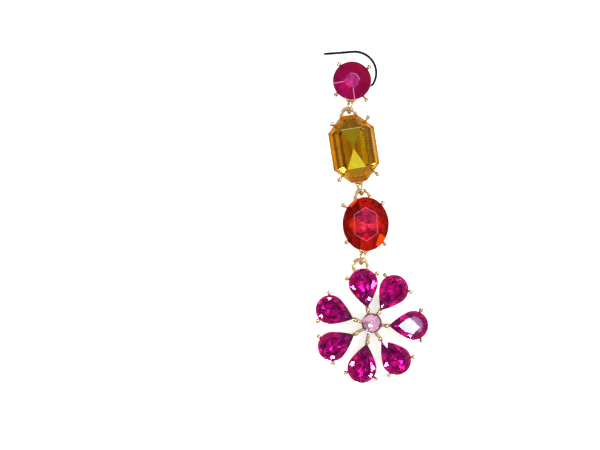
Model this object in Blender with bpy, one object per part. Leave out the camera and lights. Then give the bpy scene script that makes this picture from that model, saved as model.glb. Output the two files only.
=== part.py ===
"""Drop earring laid face up: an ear hook, a round, an octagonal and an oval stone in cups, and a flower.

The drop runs down -Y, the stones face +Z and the cups rest on z = 0. Sizes are in metres.
"""

import math

import bmesh
import bpy
from mathutils import Matrix, Vector

MM = 0.001

# Stones: across the drop, along it, and the flat table on top
ROUND_DIAMETER = 10.1 * MM
ROUND_TABLE = 4.1 * MM
ROUND_CROWN = 1.3 * MM
OCTAGON_WIDTH = 12.2 * MM
OCTAGON_LENGTH = 17.8 * MM
OCTAGON_CUT = 4.0 * MM
OCTAGON_TABLE_WIDTH = 7.0 * MM
OCTAGON_TABLE_LENGTH = 10.6 * MM
OCTAGON_TABLE_CUT = 0.95 * MM
OCTAGON_CROWN = 1.7 * MM
OVAL_WIDTH = 12.2 * MM
OVAL_LENGTH = 14.3 * MM
OVAL_TABLE_WIDTH = 5.9 * MM
OVAL_TABLE_LENGTH = 8.9 * MM
OVAL_TABLE_SIDE = 5.2 * MM
OVAL_CROWN = 1.6 * MM
PETAL_WIDTH = 7.7 * MM
PETAL_LENGTH = 10.4 * MM
PETAL_TABLE_INSET = 1.6 * MM
PETAL_CROWN = 1.1 * MM
CENTER_DIAMETER = 5.3 * MM
CENTER_TABLE = 2.8 * MM
CENTER_CROWN = 0.9 * MM
GIRDLE = 0.3 * MM
PAVILION_SLOPE = math.radians(32)
PEAR_STRAIGHTNESS = 0.75

# Share of the octagonal crown's run and rise that its lower, steeper step takes
OCTAGON_STEP_RUN = 0.4
OCTAGON_STEP_RISE = 0.62

# Cups: an upright foot, then a rim that flares out under the stone's edge
ROUND_CUP_HEIGHT = 3.7 * MM
MAIN_CUP_HEIGHT = 4.9 * MM
FLOWER_CUP_HEIGHT = 3.4 * MM
MAIN_FOOT_INSET = 1.6 * MM
PETAL_FOOT_INSET = 1.1 * MM
CENTER_FOOT_INSET = 0.6 * MM
MAIN_FLARE = 1.6 * MM
PETAL_FLARE = 1.0 * MM
CENTER_FLARE = 0.6 * MM
CUP_WALL = 0.45 * MM
RIM_WIDTH = 0.15 * MM
SEAT_LIFT = 0.4 * MM
STONE_GAP = 0.3 * MM

# Prongs
PRONG_RADIUS = 0.3 * MM
BEAD_RADIUS = 0.6 * MM
PRONG_REACH = 0.65 * MM
PRONG_RISE = 0.65 * MM
PRONG_START = 0.5 * MM

# Rings and loops: wire thickness and outer diameter
RING_WIRE = 0.7 * MM
RING_DIAMETER = 4.6 * MM
RING_TILT = math.radians(76)
TOP_LOOP_WIRE = 1.0 * MM
TOP_LOOP_DIAMETER = 4.8 * MM
BOTTOM_LOOP_WIRE = 0.7 * MM
BOTTOM_LOOP_DIAMETER = 3.0 * MM
BOTTOM_LOOP_INSET = 0.6 * MM
ROUND_LOOP_LIFT = 0.6 * MM
OVAL_LOOPS_LEFT = 0.6 * MM
FLOWER_LOOP_OUT = 0.6 * MM
LINK_GAP = 0.3 * MM

# Flower
PETAL_COUNT = 7
PETAL_TIP_RADIUS = 4.95 * MM
CENTER_RIGHT = 0.5 * MM
CENTER_UP = 0.6 * MM
STEM_WIDTH = 0.9 * MM
STEM_HEIGHT = 1.5 * MM
STEM_LIFT = 0.3 * MM
PETAL_PRONG_ANGLE = math.radians(64)

# Ear hook and the loop on the back of the round cup that it hangs in
HOOK_WIRE = 0.7 * MM
HOOK_RADIUS = 5.7 * MM
HOOK_CENTER_RIGHT = 0.8 * MM
HOOK_CENTER_UP = 2.3 * MM
HOOK_TAIL = 7.5 * MM
HOOK_TAIL_RISE = math.radians(4.6)
HOOK_ARC_END = math.radians(-30)
HOOK_TURN = 1.3 * MM
HOOK_EYE_RADIUS = 1.35 * MM
HOOK_EYE_TURN = math.radians(295)
BACK_LOOP_WIRE = 0.8 * MM

# How each piece lies: its lean from straight down the drop, positive where its lower end is to the right
ROUND_LEAN = math.radians(-2)
RING_1_LEAN = math.radians(-9)
OCTAGON_LEAN = math.radians(9)
RING_2_LEAN = math.radians(12)
OVAL_LEAN = math.radians(2)
RING_3_LEAN = math.radians(-12)
FLOWER_LEAN = math.radians(13.5)

# Degrees that each petal is turned from even spacing, anticlockwise, from the one under the flower's loop on
PETAL_TURNS = (-4, 5, 0, -2, 1, 2, 3)

# Prongs of each cup: direction from the stone's centre, and reach as a share of PRONG_REACH
ROUND_PRONGS = ((41, 1.0), (131, 0.9), (223, 0.9), (308, 1.9))
OCTAGON_PRONGS = ((58, 1.7), (122, 1.0), (238, 1.9), (302, 1.9))
OVAL_PRONGS = ((50, 0.9), (137, 1.9), (222, 0.9), (311, 0.9))

ROUND_SIDES = 24
PEAR_ROUND_STEPS = 10
PEAR_SIDE_STEPS = 2
LOOP_SIDES = 16
WIRE_SIDES = 6
BEAD_SIDES = 10
BEAD_RINGS = 6

GOLD = (0.83, 0.62, 0.33)
HOOK_STEEL = (0.10, 0.11, 0.15)
CRIMSON = (0.62, 0.01, 0.22)
AMBER = (0.78, 0.42, 0.02)
RED = (0.70, 0.02, 0.02)
PALE_PINK = (0.93, 0.68, 0.76)


def clear_scene():
    for obj in list(bpy.data.objects):
        bpy.data.objects.remove(obj, do_unlink=True)


def new_collection(name, parent):
    collection = bpy.data.collections.new(name)
    parent.children.link(collection)
    return collection


def material(name, color, metallic, roughness, transmission=0.0):
    made = bpy.data.materials.new(name)
    made.use_nodes = True
    shader = made.node_tree.nodes["Principled BSDF"]
    shader.inputs["Base Color"].default_value = (*color, 1.0)
    shader.inputs["Metallic"].default_value = metallic
    shader.inputs["Roughness"].default_value = roughness
    shader.inputs["Transmission Weight"].default_value = transmission
    return made


def add_object(name, mesh, collection, parent, finish=None):
    obj = bpy.data.objects.new(name, mesh)
    collection.objects.link(obj)
    obj.parent = parent
    if finish:
        mesh.materials.append(finish)
    return obj


def add_helper(name, mesh, collection, parent):
    """A shape that only adds to another or cuts it."""
    obj = add_object(name, mesh, collection, parent)
    obj.hide_render = True
    obj.display_type = "WIRE"
    return obj


def finished_mesh(name, bm):
    mesh = bpy.data.meshes.new(name)
    bm.to_mesh(mesh)
    bm.free()
    return mesh


# Outlines: points anticlockwise in the plane of the stone's edge, moved outward by grow


def oval_outline(width, length, grow=0.0, sides=ROUND_SIDES):
    angles = [2 * math.pi * i / sides for i in range(sides)]
    return [Vector(((width / 2 + grow) * math.cos(a), (length / 2 + grow) * math.sin(a))) for a in angles]


def octagon(width, length, cut):
    x, y = width / 2, length / 2
    quarter = ((x, y - cut), (x - cut, y))
    points = [(-px, py) for px, py in reversed(quarter)]
    points = list(quarter) + points
    return [Vector(p) for p in points] + [Vector((-px, -py)) for px, py in points]


def octagon_outline(grow=0.0):
    cut = OCTAGON_CUT + grow * (2 - math.sqrt(2))
    return octagon(OCTAGON_WIDTH + 2 * grow, OCTAGON_LENGTH + 2 * grow, cut)


def pear_outline(grow=0.0):
    """A pear, its tip towards -Y and its round end's centre at the origin: a circle and two flatter arcs."""
    radius = PETAL_WIDTH / 2
    tip = PETAL_LENGTH - radius
    start = PEAR_STRAIGHTNESS * math.asin(radius / tip)
    back = (tip**2 - radius**2) / (2 * (radius - tip * math.sin(start)))
    radius += grow
    reach = math.sqrt((radius + back) ** 2 - (back * math.cos(start)) ** 2)
    end = math.atan2(reach, back * math.cos(start))
    side = []
    for i in range(1, PEAR_SIDE_STEPS + 1):
        angle = -end + (end - start) * i / (PEAR_SIDE_STEPS + 1)
        center = Vector((-back * math.cos(start), back * math.sin(start)))
        side.append(center + (radius + back) * Vector((math.cos(angle), math.sin(angle))))
    head = []
    for i in range(PEAR_ROUND_STEPS + 1):
        angle = -start + (math.pi + 2 * start) * i / PEAR_ROUND_STEPS
        head.append(radius * Vector((math.cos(angle), math.sin(angle))))
    mirrored = [Vector((-p.x, p.y)) for p in reversed(side)]
    return [Vector((0, back * math.sin(start) - reach))] + side + head + mirrored


def round_outline(diameter):
    return lambda grow=0.0: oval_outline(diameter, diameter, grow)


def oval_stone_outline(grow=0.0):
    return oval_outline(OVAL_WIDTH, OVAL_LENGTH, grow)


def raised(outline, z):
    return [Vector((p.x, p.y, z)) for p in outline]


def edge_at(outline, angle):
    """Where a ray from the origin leaves the outline, and the outward direction there."""
    ray = Vector((math.cos(angle), math.sin(angle)))
    for a, b in zip(outline, outline[1:] + outline[:1]):
        side = b - a
        bottom = ray.cross(side)
        if abs(bottom) < 1e-15:
            continue
        along_ray = a.cross(side) / bottom
        along_side = a.cross(ray) / bottom
        if along_ray > 0 and -1e-9 <= along_side <= 1 + 1e-9:
            return ray * along_ray, Vector((side.y, -side.x)).normalized()
    raise ValueError("the outline doesn't go round the origin")


# Shapes


def loft(name, rings):
    """A closed solid through level rings with the same number of points, from the lowest up."""
    bm = bmesh.new()
    rows = [[bm.verts.new(p) for p in ring] for ring in rings]
    for low, high in zip(rows, rows[1:]):
        for i in range(len(low)):
            j = (i + 1) % len(low)
            bm.faces.new((low[i], low[j], high[j], high[i]))
    bm.faces.new(list(reversed(rows[0])))
    bm.faces.new(rows[-1])
    return finished_mesh(name, bm)


def cut_stone(name, rings, culet):
    """A faceted stone: the hull of its table, its crown's steps, its girdle and the point below."""
    bm = bmesh.new()
    for ring in rings:
        for point in ring:
            bm.verts.new(point)
    bm.verts.new(culet)
    hull = bmesh.ops.convex_hull(bm, input=bm.verts)
    spare = [g for g in hull["geom_interior"] + hull["geom_unused"] if isinstance(g, bmesh.types.BMVert)]
    bmesh.ops.delete(bm, geom=list(set(spare)), context="VERTS")
    bmesh.ops.dissolve_limit(bm, angle_limit=math.radians(0.5), verts=bm.verts, edges=bm.edges)
    return finished_mesh(name, bm)


def torus(name, diameter, wire, turn=None):
    bpy.ops.mesh.primitive_torus_add(
        major_radius=(diameter - wire) / 2,
        minor_radius=wire / 2,
        major_segments=LOOP_SIDES,
        minor_segments=WIRE_SIDES,
    )
    made = bpy.context.object
    mesh = made.data
    mesh.name = name
    bpy.data.objects.remove(made)
    mesh.transform(turn or Matrix())
    return mesh


def wire(name, points, radius, resolution):
    """A bent wire through the points, as a mesh with its flat ends closed."""
    curve = bpy.data.curves.new(name, "CURVE")
    curve.dimensions = "3D"
    curve.bevel_depth = radius
    curve.bevel_resolution = resolution
    curve.use_fill_caps = True
    spline = curve.splines.new("POLY")
    spline.points.add(len(points) - 1)
    for knot, point in zip(spline.points, points):
        knot.co = (*point, 1.0)
    drawn = bpy.data.objects.new(name, curve)
    bpy.context.scene.collection.objects.link(drawn)
    bpy.context.view_layer.update()
    graph = bpy.context.evaluated_depsgraph_get()
    mesh = bpy.data.meshes.new_from_object(drawn.evaluated_get(graph))
    bpy.data.objects.remove(drawn)
    bm = bmesh.new()
    bm.from_mesh(mesh)
    bmesh.ops.remove_doubles(bm, verts=bm.verts, dist=1e-7)
    bmesh.ops.recalc_face_normals(bm, faces=bm.faces)
    bm.to_mesh(mesh)
    bm.free()
    return mesh


def bead(name, center):
    bm = bmesh.new()
    bmesh.ops.create_uvsphere(bm, u_segments=BEAD_SIDES, v_segments=BEAD_RINGS, radius=BEAD_RADIUS)
    bmesh.ops.translate(bm, verts=bm.verts, vec=center)
    return finished_mesh(name, bm)


def stem(name, inner, outer):
    """A bar along +Y from inner to outer, STEM_LIFT over the surface."""
    bm = bmesh.new()
    bmesh.ops.create_cube(bm, size=1.0)
    bmesh.ops.scale(bm, verts=bm.verts, vec=(STEM_WIDTH, outer - inner, STEM_HEIGHT))
    center = Vector((0, (inner + outer) / 2, STEM_LIFT + STEM_HEIGHT / 2))
    bmesh.ops.translate(bm, verts=bm.verts, vec=center)
    return finished_mesh(name, bm)


# A cup and its parts


class Cup:
    """A cup of this height under a stone's outline, with the upright foot set in and the rim flared."""

    def __init__(self, name, outline, height, foot_inset, flare, half_width):
        self.name = name
        self.outline = outline
        self.height = height
        self.foot_inset = foot_inset
        self.foot_top = height - flare
        self.girdle = height + SEAT_LIFT
        self.culet = self.girdle - half_width * math.tan(PAVILION_SLOPE)

    def outside(self):
        rings = (
            raised(self.outline(-self.foot_inset), 0),
            raised(self.outline(-self.foot_inset), self.foot_top),
            raised(self.outline(RIM_WIDTH), self.height),
        )
        return loft(self.name + "_outside", rings)

    def hollow(self):
        """The room for the stone, cut down to just under its point."""
        inset = self.foot_inset + CUP_WALL
        rings = (
            raised(self.outline(-inset), self.culet - STONE_GAP),
            raised(self.outline(-inset), self.foot_top),
            raised(self.outline(0), self.height),
            raised(self.outline(0), self.height + SEAT_LIFT / 2),
        )
        return loft(self.name + "_hollow", rings)

    def prong(self, angle, share):
        """The prong's wire from the foot to its bead, and the bead's centre."""
        reach = PRONG_REACH * share
        edge, out = edge_at(self.outline(0), angle)

        def at(offset, z):
            return Vector((*(edge + out * offset), z))

        bead_center = at(reach, self.girdle + GIRDLE + PRONG_RISE)
        points = (
            at(-self.foot_inset, PRONG_START),
            at(-self.foot_inset, self.foot_top),
            at(RIM_WIDTH / 2, self.height - PRONG_RADIUS),
            at(max(reach, PRONG_RADIUS + STONE_GAP), self.height + PRONG_RADIUS / 2),
            bead_center,
        )
        return points, bead_center


def add_prong(cup, label, angle, share, collection, parent, turn=None):
    points, center = cup.prong(angle, share)
    shapes = (
        wire(f"{label}_wire", points, PRONG_RADIUS, 1),
        bead(f"{label}_bead", center),
    )
    for mesh in shapes:
        mesh.transform(turn or Matrix())
        add_helper(mesh.name, mesh, collection, parent)


def add_loop(name, diameter, thickness, center, collection, parent):
    mesh = torus(name, diameter, thickness, Matrix.Translation(center))
    add_helper(name, mesh, collection, parent)


def boolean(obj, operation, operand):
    modifier = obj.modifiers.new(operation.title(), "BOOLEAN")
    modifier.operation = operation
    modifier.solver = "EXACT"
    if isinstance(operand, bpy.types.Collection):
        modifier.operand_type = "COLLECTION"
        modifier.collection = operand
    else:
        modifier.object = operand


# Layout: each piece hangs from the one above it by its ring


def down(lean):
    return Vector((math.sin(lean), -math.cos(lean)))


def right(lean):
    return Vector((math.cos(lean), math.sin(lean)))


RING_RADIUS = (RING_DIAMETER - RING_WIRE) / 2
TOP_LOOP_RADIUS = (TOP_LOOP_DIAMETER - TOP_LOOP_WIRE) / 2
BOTTOM_LOOP_RADIUS = (BOTTOM_LOOP_DIAMETER - BOTTOM_LOOP_WIRE) / 2
LOOP_HEIGHT = RING_RADIUS * math.sin(RING_TILT) + RING_WIRE / 2
BOTTOM_SLACK = BOTTOM_LOOP_RADIUS - (BOTTOM_LOOP_WIRE + RING_WIRE) / 2 - LINK_GAP
TOP_SLACK = TOP_LOOP_RADIUS - (TOP_LOOP_WIRE + RING_WIRE) / 2 - LINK_GAP

FLOWER_LOOP_RADIUS = PETAL_TIP_RADIUS + PETAL_LENGTH + FLOWER_LOOP_OUT

BACK_LOOP_RADIUS = (HOOK_WIRE + BACK_LOOP_WIRE) / 2 + LINK_GAP
EYE_HEIGHT = BACK_LOOP_WIRE / 2 + BACK_LOOP_RADIUS
ROUND_BASE = EYE_HEIGHT + HOOK_WIRE / 2 + LINK_GAP


def ring_between(upper_loop, upper_height, lean):
    """The two ends of the middle of a ring's wire, and the centre of the loop that it carries."""
    rise = upper_height - LOOP_HEIGHT
    top = upper_loop + down(lean) * BOTTOM_SLACK
    bottom = top + down(lean) * math.sqrt((2 * RING_RADIUS) ** 2 - rise**2)
    lower_loop = bottom + down(lean) * TOP_SLACK
    return Vector((*top, upper_height)), Vector((*bottom, LOOP_HEIGHT)), lower_loop


def lay_out():
    """Where every piece lies, measured from the round stone's centre."""
    half_round = ROUND_DIAMETER / 2
    round_loop = down(ROUND_LEAN) * (half_round - BOTTOM_LOOP_INSET)
    ring_1 = ring_between(round_loop, ROUND_BASE + ROUND_LOOP_LIFT, RING_1_LEAN)
    octagon = ring_1[2] + down(OCTAGON_LEAN) * (OCTAGON_LENGTH / 2)
    octagon_loop = octagon + down(OCTAGON_LEAN) * (OCTAGON_LENGTH / 2 - BOTTOM_LOOP_INSET)
    ring_2 = ring_between(octagon_loop, LOOP_HEIGHT, RING_2_LEAN)
    aside = right(OVAL_LEAN) * OVAL_LOOPS_LEFT
    oval = ring_2[2] + down(OVAL_LEAN) * (OVAL_LENGTH / 2) + aside
    oval_loop = oval + down(OVAL_LEAN) * (OVAL_LENGTH / 2 - BOTTOM_LOOP_INSET) - aside
    ring_3 = ring_between(oval_loop, LOOP_HEIGHT, RING_3_LEAN)
    flower = ring_3[2] + down(FLOWER_LEAN + math.radians(PETAL_TURNS[0])) * FLOWER_LOOP_RADIUS
    return {"octagon": octagon, "oval": oval, "flower": flower, "rings": (ring_1, ring_2, ring_3)}


# Pieces


def place(obj, location, z, lean):
    obj.location = (location.x, location.y, z)
    obj.rotation_euler.z = lean


def make_round(parts, helpers, root, gold, finish):
    radius = ROUND_DIAMETER / 2
    outline = round_outline(ROUND_DIAMETER)
    cup = Cup("round", outline, ROUND_CUP_HEIGHT, MAIN_FOOT_INSET, MAIN_FLARE, radius)
    setting = add_object("round_setting", cup.outside(), parts, root, gold)
    place(setting, Vector((0, 0)), ROUND_BASE, ROUND_LEAN)
    added = new_collection("round_added", helpers)
    for i, (angle, share) in enumerate(ROUND_PRONGS):
        add_prong(cup, f"round_prong_{i + 1}", math.radians(angle), share, added, setting)
    bottom = Vector((0, BOTTOM_LOOP_INSET - radius, ROUND_LOOP_LIFT))
    add_loop("round_bottom_loop", BOTTOM_LOOP_DIAMETER, BOTTOM_LOOP_WIRE, bottom, added, setting)
    add_helper("round_back_loop", back_loop(cup), added, setting)
    boolean(setting, "UNION", added)
    boolean(setting, "DIFFERENCE", add_helper("round_hollow", cup.hollow(), helpers, setting))
    rings = (
        raised(oval_outline(ROUND_TABLE, ROUND_TABLE, sides=8), cup.girdle + GIRDLE + ROUND_CROWN),
        raised(cup.outline(), cup.girdle + GIRDLE),
        raised(cup.outline(), cup.girdle),
    )
    stone = cut_stone("round_stone", rings, Vector((0, 0, cup.culet)))
    add_object("round_stone", stone, parts, setting, finish)


def back_loop(cup):
    """A U of wire under the round cup's base that the hook's eye hangs in, across the hook's wire."""
    leg_top = (cup.culet - STONE_GAP) / 2
    drop = EYE_HEIGHT - ROUND_BASE
    y = hook_run_height()
    points = [Vector((0, y + BACK_LOOP_RADIUS, leg_top))]
    steps = LOOP_SIDES // 2
    for i in range(steps + 1):
        angle = -math.pi * i / steps
        bend = BACK_LOOP_RADIUS * Vector((math.cos(angle), math.sin(angle)))
        points.append(Vector((0, y + bend.x, drop + bend.y)))
    points.append(Vector((0, y - BACK_LOOP_RADIUS, leg_top)))
    return wire("round_back_loop", points, BACK_LOOP_WIRE / 2, 1)


def hook_run_height():
    """How far up the drop the hook's last straight run lies, from the round stone's centre."""
    return HOOK_CENTER_UP + (HOOK_RADIUS - HOOK_TURN) * math.sin(HOOK_ARC_END) - HOOK_TURN


def arc(center, radius, start, end, steps):
    angles = [start + (end - start) * i / steps for i in range(steps + 1)]
    return [center + radius * Vector((math.cos(a), math.sin(a))) for a in angles]


def make_hook(parts, root, steel):
    """The hook lies on the surface at the top of its bend and rises a little to the back of the round cup."""
    start = math.pi / 2 + HOOK_TAIL_RISE
    center = Vector((HOOK_CENTER_RIGHT, HOOK_CENTER_UP))
    bend = arc(center, HOOK_RADIUS, start, HOOK_ARC_END, 20)
    tail_way = Vector((math.cos(HOOK_TAIL_RISE), math.sin(HOOK_TAIL_RISE)))
    tail = [bend[0] - tail_way * HOOK_TAIL * (1 - i / 3) for i in range(3)]
    arc_end_way = Vector((math.cos(HOOK_ARC_END), math.sin(HOOK_ARC_END)))
    turn_center = center + (HOOK_RADIUS - HOOK_TURN) * arc_end_way
    turn = arc(turn_center, HOOK_TURN, HOOK_ARC_END, -math.pi / 2, 5)[1:]
    eye_center = Vector((0, hook_run_height() + HOOK_EYE_RADIUS))
    eye = arc(eye_center, HOOK_EYE_RADIUS, -math.pi / 2, -math.pi / 2 - HOOK_EYE_TURN, 14)
    run = Vector((0, hook_run_height()))
    points = [Vector((*(p - run), 0)) for p in tail + bend + turn + eye]
    hook = add_object("ear_hook", wire("ear_hook", points, HOOK_WIRE / 2, 2), parts, root, steel)
    hook.location = (0, run.y, EYE_HEIGHT)
    hook.rotation_euler.x = -math.asin((EYE_HEIGHT - HOOK_WIRE / 2) / (HOOK_CENTER_UP + HOOK_RADIUS - run.y))


def make_drop(cup, prongs, half_length, loops_left, rings, parts, helpers, root, gold, finish):
    """A cup with a top loop, a small bottom loop, its prongs and its stone."""
    name = cup.name
    setting = add_object(f"{name}_setting", cup.outside(), parts, root, gold)
    added = new_collection(f"{name}_added", helpers)
    for i, (angle, share) in enumerate(prongs):
        add_prong(cup, f"{name}_prong_{i + 1}", math.radians(angle), share, added, setting)
    top = Vector((-loops_left, half_length, LOOP_HEIGHT))
    bottom = Vector((-loops_left, BOTTOM_LOOP_INSET - half_length, LOOP_HEIGHT))
    add_loop(f"{name}_top_loop", TOP_LOOP_DIAMETER, TOP_LOOP_WIRE, top, added, setting)
    add_loop(f"{name}_bottom_loop", BOTTOM_LOOP_DIAMETER, BOTTOM_LOOP_WIRE, bottom, added, setting)
    boolean(setting, "UNION", added)
    boolean(setting, "DIFFERENCE", add_helper(f"{name}_hollow", cup.hollow(), helpers, setting))
    stone = cut_stone(f"{name}_stone", rings, Vector((0, 0, cup.culet)))
    add_object(f"{name}_stone", stone, parts, setting, finish)
    return setting


def make_octagon(parts, helpers, root, center, gold, finish):
    cup = Cup("octagon", octagon_outline, MAIN_CUP_HEIGHT, MAIN_FOOT_INSET, MAIN_FLARE, OCTAGON_WIDTH / 2)
    top = cup.girdle + GIRDLE
    edge = octagon_outline()
    table = octagon(OCTAGON_TABLE_WIDTH, OCTAGON_TABLE_LENGTH, OCTAGON_TABLE_CUT)
    step = [a.lerp(b, OCTAGON_STEP_RUN) for a, b in zip(edge, table)]
    rings = (
        raised(table, top + OCTAGON_CROWN),
        raised(step, top + OCTAGON_CROWN * OCTAGON_STEP_RISE),
        raised(edge, top),
        raised(edge, cup.girdle),
    )
    half = OCTAGON_LENGTH / 2
    setting = make_drop(cup, OCTAGON_PRONGS, half, 0, rings, parts, helpers, root, gold, finish)
    place(setting, center, 0, OCTAGON_LEAN)


def make_oval(parts, helpers, root, center, gold, finish):
    cup = Cup("oval", oval_stone_outline, MAIN_CUP_HEIGHT, MAIN_FOOT_INSET, MAIN_FLARE, OVAL_WIDTH / 2)
    x, y, tip = OVAL_TABLE_WIDTH / 2, OVAL_TABLE_SIDE / 2, OVAL_TABLE_LENGTH / 2
    table = [Vector(p) for p in ((x, -y), (x, y), (0, tip), (-x, y), (-x, -y), (0, -tip))]
    top = cup.girdle + GIRDLE
    rings = (
        raised(table, top + OVAL_CROWN),
        raised(cup.outline(), top),
        raised(cup.outline(), cup.girdle),
    )
    half = OVAL_LENGTH / 2
    setting = make_drop(cup, OVAL_PRONGS, half, OVAL_LOOPS_LEFT, rings, parts, helpers, root, gold, finish)
    place(setting, center, 0, OVAL_LEAN)


def petal_way(index):
    """Turns +Y to this petal's direction from the flower's centre."""
    turn = math.radians(PETAL_TURNS[index % len(PETAL_TURNS)]) - 2 * math.pi * index / PETAL_COUNT
    return Matrix.Rotation(turn, 4, "Z")


def petal_place(index):
    out = PETAL_TIP_RADIUS + PETAL_LENGTH - PETAL_WIDTH / 2
    return petal_way(index) @ Matrix.Translation((0, out, 0))


def make_flower(parts, helpers, root, center, gold, petal_finish, center_finish):
    radius = CENTER_DIAMETER / 2
    outline = round_outline(CENTER_DIAMETER)
    core = Cup("center", outline, FLOWER_CUP_HEIGHT, CENTER_FOOT_INSET, CENTER_FLARE, radius)
    petal = Cup("petal", pear_outline, FLOWER_CUP_HEIGHT, PETAL_FOOT_INSET, PETAL_FLARE, PETAL_WIDTH / 2)
    middle = Matrix.Translation((CENTER_RIGHT, CENTER_UP, 0))
    body, room = core.outside(), core.hollow()
    body.transform(middle)
    room.transform(middle)
    frame = add_object("flower_frame", body, parts, root, gold)
    place(frame, center, 0, FLOWER_LEAN)
    added = new_collection("flower_added", helpers)
    hollows = new_collection("flower_hollows", helpers)
    add_helper("center_hollow", room, hollows, frame)
    loop = petal_way(0) @ Vector((0, FLOWER_LOOP_RADIUS, LOOP_HEIGHT))
    add_loop("flower_top_loop", TOP_LOOP_DIAMETER, TOP_LOOP_WIRE, loop, added, frame)
    stem_start = radius - CENTER_FOOT_INSET - CUP_WALL / 2 - math.hypot(CENTER_RIGHT, CENTER_UP)
    for i in range(PETAL_COUNT):
        turn = petal_place(i)
        for mesh, collection in ((petal.outside(), added), (petal.hollow(), hollows)):
            mesh.transform(turn)
            add_helper(f"{mesh.name}_{i + 1}", mesh, collection, frame)
        bar = stem(f"stem_{i + 1}", stem_start, PETAL_TIP_RADIUS + PETAL_LENGTH / 4)
        bar.transform(petal_way(i))
        add_helper(f"stem_{i + 1}", bar, added, frame)
        for side, angle in enumerate((math.pi / 2 - PETAL_PRONG_ANGLE, math.pi / 2 + PETAL_PRONG_ANGLE)):
            add_prong(petal, f"petal_{i + 1}_prong_{side + 1}", angle, 1.0, added, frame, turn)
        add_tip_prong(petal, f"petal_{i + 1}_tip", added, frame, turn)
        add_petal_stone(f"petal_stone_{i + 1}", petal, parts, frame, turn, petal_finish)
    boolean(frame, "UNION", added)
    boolean(frame, "DIFFERENCE", hollows)
    top = core.girdle + GIRDLE
    rings = (
        raised(oval_outline(CENTER_TABLE, CENTER_TABLE, sides=8), top + CENTER_CROWN),
        raised(core.outline(), top),
        raised(core.outline(), core.girdle),
    )
    stone = cut_stone("center_stone", rings, Vector((0, 0, core.culet)))
    obj = add_object("center_stone", stone, parts, frame, center_finish)
    obj.matrix_local = middle


def add_tip_prong(petal, label, collection, parent, turn):
    """The prong at a petal's tip stands on the stem."""
    tip = pear_outline()[0]
    y = tip.y - PRONG_REACH
    foot = Vector((0, y, STEM_LIFT + STEM_HEIGHT / 2))
    head = Vector((0, y, petal.girdle + GIRDLE + PRONG_RISE))
    for mesh in (wire(f"{label}_wire", (foot, head), PRONG_RADIUS, 1), bead(f"{label}_bead", head)):
        mesh.transform(turn)
        add_helper(mesh.name, mesh, collection, parent)


def add_petal_stone(name, petal, parts, frame, turn, finish):
    top = petal.girdle + GIRDLE
    table = pear_outline(-PETAL_TABLE_INSET)
    rings = (
        raised(table[:1] + table[2:-1:2], top + PETAL_CROWN),
        raised(pear_outline(), top),
        raised(pear_outline(), petal.girdle),
    )
    stone = cut_stone(name, rings, Vector((0, 0, petal.culet)))
    obj = add_object(name, stone, parts, frame, finish)
    obj.matrix_local = turn


def make_ring(index, ends, parts, root, gold):
    """A jump ring through two loops, turned nearly on edge."""
    top, bottom, _ = ends
    along = (top - bottom).normalized()
    level = along.cross(Vector((0, 0, 1))).normalized()
    up = level.cross(along)
    across = level * math.cos(RING_TILT) + up * math.sin(RING_TILT)
    turn = Matrix((across, along, across.cross(along))).transposed()
    name = f"jump_ring_{index}"
    ring = add_object(name, torus(name, RING_DIAMETER, RING_WIRE), parts, root, gold)
    ring.location = (top + bottom) / 2
    ring.rotation_euler = turn.to_euler()


def center_on_floor(parts, root):
    """Moves the whole earring so that the middle of its box is over the origin."""
    bpy.context.view_layer.update()
    graph = bpy.context.evaluated_depsgraph_get()
    corners = []
    for obj in parts.objects:
        made = obj.evaluated_get(graph)
        corners += [made.matrix_world @ v.co for v in made.data.vertices]
    low = [min(c[i] for c in corners) for i in range(3)]
    high = [max(c[i] for c in corners) for i in range(3)]
    root.location = (-(low[0] + high[0]) / 2, -(low[1] + high[1]) / 2, -low[2])


def main():
    clear_scene()
    parts = new_collection("drop_earring", bpy.context.scene.collection)
    helpers = new_collection("cutters", bpy.context.scene.collection)
    root = bpy.data.objects.new("earring_place", None)
    bpy.context.scene.collection.objects.link(root)
    gold = material("gold_metal", GOLD, 1.0, 0.22)
    steel = material("hook_steel", HOOK_STEEL, 1.0, 0.25)
    crimson = material("crimson_stone", CRIMSON, 0.0, 0.03, 0.6)
    amber = material("amber_stone", AMBER, 0.0, 0.03, 0.6)
    red = material("red_stone", RED, 0.0, 0.03, 0.6)
    pale_pink = material("pale_pink_stone", PALE_PINK, 0.0, 0.03, 0.6)
    layout = lay_out()
    make_hook(parts, root, steel)
    make_round(parts, helpers, root, gold, crimson)
    make_octagon(parts, helpers, root, layout["octagon"], gold, amber)
    make_oval(parts, helpers, root, layout["oval"], gold, red)
    make_flower(parts, helpers, root, layout["flower"], gold, crimson, pale_pink)
    for index, ends in enumerate(layout["rings"]):
        make_ring(index + 1, ends, parts, root, gold)
    center_on_floor(parts, root)


main()
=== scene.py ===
"""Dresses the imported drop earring: finely cut stones, smooth gold settings and a dark ear wire."""

import math
import random

import bmesh
import bpy
from mathutils import Matrix, Vector


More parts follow.
